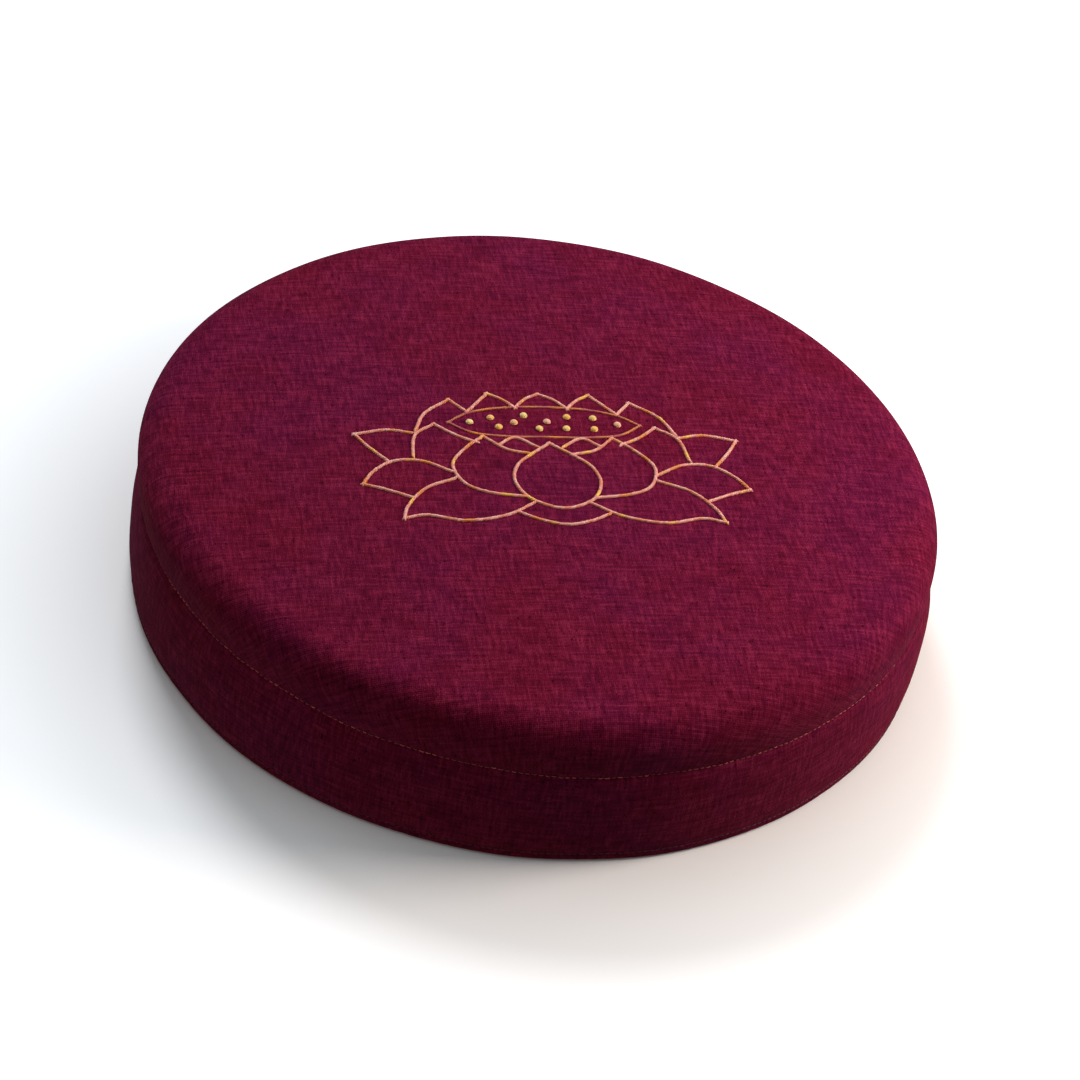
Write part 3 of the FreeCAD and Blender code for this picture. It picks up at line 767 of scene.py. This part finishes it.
def make_zip_coil(name, side):
    """One side's nylon loops, which reach in between the other side's, and the thread sewn over them."""
    turn, outward, along = along_chain(COIL_PITCH, 0.25 + 0.25 * side)
    middle = SIDE_SEAM_Z + side * sum(COIL_REACH) / 2
    places = outward * COIL_RADIUS + np.array([0, 0, middle])
    across = unit(along * 0.2 * side + np.array([0, 0, 1.0]))
    loops = stitches("zip_loops_" + name, places, across, outward, COIL_REACH[1] - COIL_REACH[0], COIL_WIRE,
                     rng.uniform(0, 1, len(turn)), arch=0.3)
    turn, outward, along = along_chain(2 * COIL_PITCH, 0.5)
    places = outward * (COIL_RADIUS + SEWING_LIFT) + np.array([0, 0, SIDE_SEAM_Z + side * SEWING_Z])
    sewing = stitches("zip_sewing_" + name, places, along, outward, 2 * COIL_PITCH, SEWING_RADIUS,
                      rng.uniform(0, 1, len(turn)), arch=0.06)
    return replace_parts(loops, "zip_coil_" + name), sewing


# Materials

class Shader:
    """A material's node tree, with a short call for each kind of node."""

    def __init__(self, name, roughness, specular, sheen=0.0, sheen_tint=(1, 1, 1), metallic=0.0):
        self.material = bpy.data.materials.new(name)
        self.material.use_nodes = True
        self.tree = self.material.node_tree
        self.inputs = self.tree.nodes["Principled BSDF"].inputs
        fixed = {"Roughness": roughness, "Specular IOR Level": specular, "Metallic": metallic,
                 "Sheen Weight": sheen, "Sheen Roughness": 0.45, "Sheen Tint": (*sheen_tint, 1)}
        for socket, value in fixed.items():
            self.inputs[socket].default_value = value

    def node(self, kind, inputs, **settings):
        made = self.tree.nodes.new(kind)
        for key, value in settings.items():
            setattr(made, key, value)
        for key, value in inputs.items():
            if isinstance(value, bpy.types.NodeSocket):
                self.tree.links.new(value, made.inputs[key])
            else:
                made.inputs[key].default_value = value
        return made

    def math(self, operation, *values):
        return self.node("ShaderNodeMath", dict(enumerate(values)), operation=operation).outputs[0]

    def add(self, *values):
        total = values[0]
        for value in values[1:]:
            total = self.math("ADD", total, value)
        return total

    def times(self, a, b):
        return self.math("MULTIPLY", a, b)

    def share(self, a, part, b):
        """A part of a with the rest of b."""
        return self.add(self.times(a, part), self.times(b, 1 - part))

    def centred(self, value):
        return self.math("SUBTRACT", value, 0.5)

    def streak(self, x, across, y, along, seed):
        """A place stretched for noise that runs along one way of the cloth."""
        return self.vector(self.times(x, across), self.times(y, along), seed)

    def vector(self, x, y, z=0.0):
        return self.node("ShaderNodeCombineXYZ", {0: x, 1: y, 2: z}).outputs[0]

    def split(self, vector):
        made = self.node("ShaderNodeSeparateXYZ", {0: vector})
        return made.outputs[0], made.outputs[1], made.outputs[2]

    def attribute(self, name, output):
        return self.node("ShaderNodeAttribute", {}, attribute_name=name).outputs[output]

    def place(self):
        """The place on the object, in metres."""
        return self.tree.nodes.new("ShaderNodeTexCoord").outputs["Object"]

    def noise(self, vector, scale=1.0, detail=1.0, roughness=0.5):
        inputs = {"Vector": vector, "Scale": scale, "Detail": detail, "Roughness": roughness}
        return self.node("ShaderNodeTexNoise", inputs, noise_dimensions="3D").outputs[0]

    def spread(self, value, low, high, to_low=0.0, to_high=1.0):
        """Maps low to high onto to_low to to_high, with soft ends."""
        inputs = {0: value, 1: low, 2: high, 3: to_low, 4: to_high}
        return self.node("ShaderNodeMapRange", inputs, interpolation_type="SMOOTHSTEP").outputs[0]

    def ramp(self, value, *stops):
        """A colour from a number: stops are (place, (red, green, blue)) in 8-bit screen colours."""
        made = self.node("ShaderNodeValToRGB", {0: value})
        elements = made.color_ramp.elements
        while len(elements) < len(stops):
            elements.new(0.5)
        for element, (place, colour) in zip(elements, stops):
            element.position = place
            element.color = screen(*colour)
        return made.outputs[0]

    def mix(self, share, a, b):
        made = self.node("ShaderNodeMix", {0: share}, data_type="RGBA")
        for socket, value in ((made.inputs[6], a), (made.inputs[7], b)):
            self.tree.links.new(value, socket)
        return made.outputs[2]

    def finish(self, colour, height=None, distance=0.0, strength=1.0, roughness=None):
        self.tree.links.new(colour, self.inputs["Base Color"])
        if roughness is not None:
            self.tree.links.new(roughness, self.inputs["Roughness"])
        if height is not None:
            bump = self.node("ShaderNodeBump", {"Height": height, "Distance": distance, "Strength": strength})
            self.tree.links.new(bump.outputs[0], self.inputs["Normal"])
        return self.material


def screen(red, green, blue):
    """A linear colour from 8-bit screen values."""
    values = [c / 255 for c in (red, green, blue)]
    return (*(c / 12.92 if c <= 0.04045 else ((c + 0.055) / 1.055) ** 2.4 for c in values), 1.0)


def weave_height(n, u, v):
    """A plain weave from counts of threads: its height, the threads' numbers, and which one is on top."""
    warp, weft = n.math("FLOOR", u), n.math("FLOOR", v)
    across = n.math("SINE", n.times(n.math("SUBTRACT", u, warp), math.pi))
    along = n.math("SINE", n.times(n.math("SUBTRACT", v, weft), math.pi))
    on_top = n.math("FLOORED_MODULO", n.add(warp, weft), 2.0)
    over_warp = n.times(n.math("POWER", across, 0.8), n.math("POWER", along, 0.35))
    over_weft = n.times(n.math("POWER", along, 0.8), n.math("POWER", across, 0.35))
    under = n.math("SUBTRACT", 1.0, on_top)
    return n.add(n.times(over_warp, on_top), n.times(over_weft, under)), warp, weft, on_top


LINEN_WARP = 0.92 * MM
LINEN_WEFT = 1.02 * MM


def linen(name, dark, middle, light, violet):
    """Slubby plain-weave linen: uneven threads both ways, slubs, dark flecks and a slow drift of hue."""
    n = Shader(name, 0.92, 0.04, sheen=0.05, sheen_tint=(0.9, 0.08, 0.16))
    n.inputs["Specular Tint"].default_value = (1.0, 0.2, 0.3, 1)
    flat = n.attribute("weave", "Vector")
    x, y, _ = n.split(flat)
    bend = n.times(n.centred(n.noise(flat, 30.0)), 2.4)
    sway = n.times(n.centred(n.noise(n.vector(y, x), 26.0)), 2.4)
    height, warp, weft, on_top = weave_height(n, n.add(n.times(x, 1 / LINEN_WARP), bend),
                                              n.add(n.times(y, 1 / LINEN_WEFT), sway))
    warp_tone = n.noise(n.vector(n.times(warp, 1.7), n.times(y, 95.0)), 1.0, 2.0)
    weft_tone = n.noise(n.vector(n.times(x, 80.0), n.times(weft, 1.7), 5.0), 1.0, 2.0)
    thread = n.add(n.times(warp_tone, on_top), n.times(weft_tone, n.math("SUBTRACT", 1.0, on_top)))
    warp_slub = n.noise(n.streak(x, 540.0, y, 105.0, 2.0), 1.0, 2.5)
    weft_slub = n.noise(n.streak(x, 60.0, y, 560.0, 8.0), 1.0, 2.5)
    fleck = n.spread(n.noise(n.streak(x, 560.0, y, 360.0, 3.0), 1.0, 3.0, 0.6), 0.58, 0.7)
    glint = n.spread(n.noise(n.streak(x, 620.0, y, 210.0, 9.0), 1.0, 3.0, 0.6), 0.62, 0.76)
    patch = n.noise(flat, 45.0, 3.0, 0.6)
    value = n.add(n.times(n.centred(thread), 0.85), n.times(n.centred(warp_slub), 0.85),
                  n.times(n.centred(weft_slub), 0.7), n.times(n.centred(patch), 0.34),
                  n.times(height, 0.18), n.times(fleck, -0.44), n.times(glint, 0.24), 0.43)
    red = n.ramp(value, (0.0, dark), (0.5, middle), (1.0, light))
    cool = n.ramp(value, (0.0, dark), (0.5, violet), (1.0, light))
    hue = n.spread(n.noise(flat, 9.0, 4.0, 0.65), 0.32, 0.7)
    relief = n.add(height, n.times(n.add(warp_slub, weft_slub), 0.9), n.times(thread, 0.5))
    return n.finish(n.mix(hue, red, cool), relief, 0.15 * MM, 0.7)


def twisted(name, stops, shine, sheen_tint=(1, 1, 1)):
    """Thread: its colour follows each stitch's tone, with fine fibres along it."""
    n = Shader(name, shine, 0.4, sheen=0.15, sheen_tint=sheen_tint)
    tone = n.attribute("tone", "Fac")
    fibre = n.noise(n.place(), 5200.0, 2.0)
    value = n.add(tone, n.times(n.centred(fibre), 0.22))
    return n.finish(n.ramp(value, *stops), fibre, 0.05 * MM, 0.6)


def speckled(name, dark, light, scale, roughness, distance, detail=4.0, stretch=(1, 1, 1)):
    """Foam, wadding or felt: pores or fibres of one size, in two shades."""
    n = Shader(name, roughness, 0.2)
    x, y, z = n.split(n.place())
    place = n.vector(n.times(x, stretch[0]), n.times(y, stretch[1]), n.times(z, stretch[2]))
    grain = n.noise(place, scale, detail, 0.65)
    patch = n.noise(place, scale / 12, 2.0)
    return n.finish(n.ramp(n.share(grain, 0.8, patch), (0.32, dark), (0.68, light)), grain, distance, 0.8)


def plain_cloth(name, dark, light, pitch, roughness, on_wall):
    """A fine plain weave, round the cushion and up its wall, or across and along where it lies flat."""
    n = Shader(name, roughness, 0.2, sheen=0.1)
    x, y, z = n.split(n.place())
    if on_wall:
        height, warp, weft, _ = weave_height(n, n.times(n.math("ARCTAN2", y, x), RADIUS / pitch),
                                             n.times(z, 1 / pitch))
    else:
        height, warp, weft, _ = weave_height(n, n.times(x, 1 / pitch), n.times(y, 1 / pitch))
    warp_change, weft_change = (0.31, 1.3) if on_wall else (1.3, 0.31)
    tone = n.noise(n.vector(n.times(warp, warp_change), n.times(weft, weft_change)), 1.0, 2.0)
    return n.finish(n.ramp(n.share(height, 0.5, tone), (0.2, dark), (0.8, light)), height, 0.1 * MM, 0.7)


def brushed_metal(name, dark, light):
    """Plated zip metal: fine polishing marks, and a little darker tarnish in patches."""
    n = Shader(name, 0.3, 0.5, metallic=1.0)
    x, y, z = n.split(n.place())
    marks = n.noise(n.vector(n.times(x, 300.0), n.times(y, 300.0), n.times(z, 5000.0)), 1.0, 3.0)
    tarnish = n.noise(n.place(), 420.0, 3.0, 0.6)
    value = n.share(marks, 0.35, tarnish)
    colour = n.ramp(value, (0.35, dark), (0.6, light))
    return n.finish(colour, marks, 0.02 * MM, 0.4, n.spread(value, 0.35, 0.65, 0.42, 0.24))


def nylon(name, dark, light):
    """Smooth dyed nylon, a little uneven in shade from loop to loop."""
    n = Shader(name, 0.34, 0.5)
    tone = n.attribute("tone", "Fac")
    cloud = n.noise(n.place(), 900.0, 2.0)
    return n.finish(n.ramp(n.share(tone, 0.6, cloud), (0.2, dark), (0.8, light)), cloud, 0.03 * MM, 0.3)


THREAD_GOLD = (240, 150, 62)
THREAD_ROSE = (236, 142, 122)
THREAD_PINK = (250, 190, 172)
THREAD_MAUVE = (190, 84, 92)
THREAD_DULL = (196, 112, 84)
THREAD_STRAW = (255, 204, 92)
THREAD_CREAM = (255, 234, 158)


def make_materials():
    """Every material, by the name of the record's slot."""
    # The seam thread's pale end is partly a paler thread and partly painted highlight, for stitches that
    # catch the light.
    seam_stops_with_painted_highlight = [(0.0, (84, 14, 34)), (0.3, (112, 26, 40)), (0.7, (170, 62, 62)), (1.0, (224, 114, 92))]
    outline = [(0.0, THREAD_GOLD), (0.25, THREAD_ROSE), (0.5, THREAD_PINK), (0.75, THREAD_ROSE),
               (1.0, THREAD_STRAW)]
    pod = [(0.0, THREAD_MAUVE), (0.45, THREAD_DULL), (1.0, THREAD_GOLD)]
    knots = [(0.0, THREAD_STRAW), (0.5, THREAD_CREAM), (0.8, THREAD_STRAW), (1.0, THREAD_PINK)]
    cotton = ((196, 190, 178), (236, 232, 222), 0.6 * MM, 0.9)
    return {
        "cover_linen": linen("linen", (58, 5, 25), (106, 18, 45), (146, 42, 76), (98, 18, 57)),
        "base_cloth": linen("base_linen", (54, 4, 23), (99, 16, 42), (138, 38, 70), (91, 16, 52)),
        "seam_thread": twisted("seam_thread", seam_stops_with_painted_highlight, 0.5),
        "embroidery_thread": twisted("lotus_thread", outline, 0.38),
        "pod_thread": twisted("pod_thread", pod, 0.42),
        "knot_thread": twisted("knot_thread", knots, 0.4),
        "backing_cloth": speckled("backing_felt", (206, 204, 198), (240, 239, 234), 1600.0, 0.95, 0.05 * MM),
        "zip_tape": plain_cloth("zip_tape", (52, 8, 24), (92, 22, 44), 0.5 * MM, 0.75, True),
        "zip_coil": nylon("zip_nylon", (70, 12, 30), (116, 34, 54)),
        "zip_metal": brushed_metal("zip_brass", (118, 92, 58), (196, 166, 112)),
        "liner_cloth": plain_cloth("liner_cotton", *cotton, False),
        "liner_wall": plain_cloth("liner_cotton_wall", *cotton, True),
        "foam_firm": speckled("foam_board", (150, 148, 142), (206, 204, 196), 1500.0, 0.95, 0.3 * MM),
        "foam_core": speckled("foam_block", (206, 184, 128), (240, 224, 176), 1100.0, 0.95, 0.4 * MM),
        "foam_soft": speckled("foam_topper", (226, 214, 190), (248, 242, 226), 1300.0, 0.95, 0.4 * MM),
        "wadding": speckled("wadding_fibre", (222, 222, 220), (252, 252, 250), 420.0, 1.0, 0.8 * MM,
                            8.0, (1, 1, 4)),
    }


# The object

def dress(piece, slot, material=None):
    """Gives a new piece its material (the slot's own, or a variant) and its body."""
    piece.data.materials.clear()
    piece.data.materials.append(MATERIALS[material or slot])
    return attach(piece, CUSHION)


def paint(node, material):
    """Gives a CAD node its material."""
    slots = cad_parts[node].material_slots
    for index in range(len(slots)):
        slots[index].link = "OBJECT"
        slots[index].material = material


MATERIALS = make_materials()
top_panel = dress(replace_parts(make_top_panel(), "cover_top_panel"), "cover_linen")
side_band = dress(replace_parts(make_side_band(), "cover_side_band"), "cover_linen")
base_panel = dress(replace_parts(make_base_panel(), "cover_base_panel"), "base_cloth")


for seam in make_seam_threads():
    dress(seam, "seam_thread")
petals, pod_rim = make_outline()
dress(petals, "embroidery_thread")
dress(pod_rim, "embroidery_thread", "pod_thread")
dress(make_seed_knots(), "knot_thread")
for name, side in (("upper", 1), ("lower", -1)):
    loops, sewing = make_zip_coil(name, side)
    dress(loops, "zip_coil")
    dress(sewing, "seam_thread")

PAINTED = {
    "zip_tape": ("zip_tape_upper", "zip_tape_lower"),
    "zip_metal": ("zip_stop_closed", "zip_stop_open", "zip_slider_body", "zip_pull_tab"),
    "backing_cloth": ("embroidery_backing",),
    "liner_cloth": ("liner_top_panel", "liner_base_panel"),
    "liner_wall": ("liner_side_band",),
    "foam_firm": ("foam_base_layer",),
    "foam_core": ("foam_core",),
    "foam_soft": ("foam_comfort_layer",),
    "wadding": ("wadding_crown",),
}
for material, painted in PAINTED.items():
    for node in painted:
        paint(node, MATERIALS[material])


# Floor, light and camera

FLOOR_REACH = 8.0
# Reach and sharpness of the floor's painted contact shadow, and the strength of its painted glow
PAINTED_SHADOW_REACH = 0.1
PAINTED_SHADOW_POWER = 2.2
FLOOR_PAINTED_GLOW = 0.5


def make_floor():
    """A pale paper floor with a little painted glow, which is weaker round the cushion as a painted contact
    shadow.
    """
    sides = [(x * FLOOR_REACH, y * FLOOR_REACH, 0) for x, y in ((-1, -1), (1, -1), (1, 1), (-1, 1))]
    mesh = new_mesh("floor", sides, [(0, 1, 2, 3)])
    paper = Shader("floor_paper_painted_glow", 0.9, 0.1)
    paper.inputs["Base Color"].default_value = screen(246, 246, 246)
    # The glow's cool tint is painted light that evens out the warm side lamp's tint in the floor's shade.
    paper.inputs["Emission Color"].default_value = (0.88, 0.96, 1.0, 1)
    # The glow fades where the cushion hems the floor in: a painted contact shadow.
    painted_shadow_openness = paper.node("ShaderNodeAmbientOcclusion", {"Distance": PAINTED_SHADOW_REACH}, samples=8).outputs["AO"]
    painted_glow = paper.times(paper.math("POWER", painted_shadow_openness, PAINTED_SHADOW_POWER), FLOOR_PAINTED_GLOW)
    paper.tree.links.new(painted_glow, paper.inputs["Emission Strength"])
    mesh.materials.append(paper.material)
    floor = new_object("floor", mesh)
    floor.visible_diffuse = False


def aimed(origin, target, roll=0.0):
    """A matrix at origin that looks at target, with Z up and a roll about the line of sight."""
    turn = (Vector(target) - Vector(origin)).to_track_quat("-Z", "Y").to_matrix().to_4x4()
    return Matrix.Translation(origin) @ turn @ Matrix.Rotation(roll, 4, "Z")


def make_light(name, place, size, power, colour=(1, 1, 1)):
    data = bpy.data.lights.new(name, "AREA")
    data.shape = "DISK"
    data.size = size
    data.energy = power
    data.color = colour
    new_object(name, data).matrix_world = aimed(place, (0, 0, HEIGHT / 2))


def make_world(strength):
    world = bpy.data.worlds.new("studio")
    world.use_nodes = True
    world.node_tree.nodes["Background"].inputs["Color"].default_value = (1, 1, 1, 1)
    world.node_tree.nodes["Background"].inputs["Strength"].default_value = strength
    bpy.context.scene.world = world


CAMERA_AZIMUTH, CAMERA_ELEVATION, CAMERA_ROLL = (math.radians(a) for a in (-15.0, 38.82, 10.21))
CAMERA_DISTANCE = 1.764
CAMERA_LENS = 114.9
CAMERA_ACROSS, CAMERA_UP = -0.0084, -0.0222


def make_camera():
    data = bpy.data.cameras.new("camera")
    data.lens = CAMERA_LENS
    data.sensor_width = 36.0
    camera = new_object("camera", data)
    level = CAMERA_DISTANCE * math.cos(CAMERA_ELEVATION)
    place = (level * math.sin(CAMERA_AZIMUTH), -level * math.cos(CAMERA_AZIMUTH),
             CAMERA_DISTANCE * math.sin(CAMERA_ELEVATION))
    aside = Matrix.Translation((-CAMERA_ACROSS, -CAMERA_UP, 0))
    camera.matrix_world = aimed(place, (0, 0, 0), CAMERA_ROLL) @ aside
    bpy.context.scene.camera = camera


make_floor()
make_world(0.1)
make_light("key", (-0.3, 1.9, 2.0), 1.0, 50.0, (0.95, 0.96, 1.0))
make_light("side", (0.8, -0.12, 0.5), 0.4, 7.5, (1.0, 0.84, 0.74))
make_light("fill", (-1.8, -1.3, 0.6), 1.0, 5.0, (1.0, 0.72, 0.6))
make_camera()
bpy.context.scene.view_settings.view_transform = "Standard"
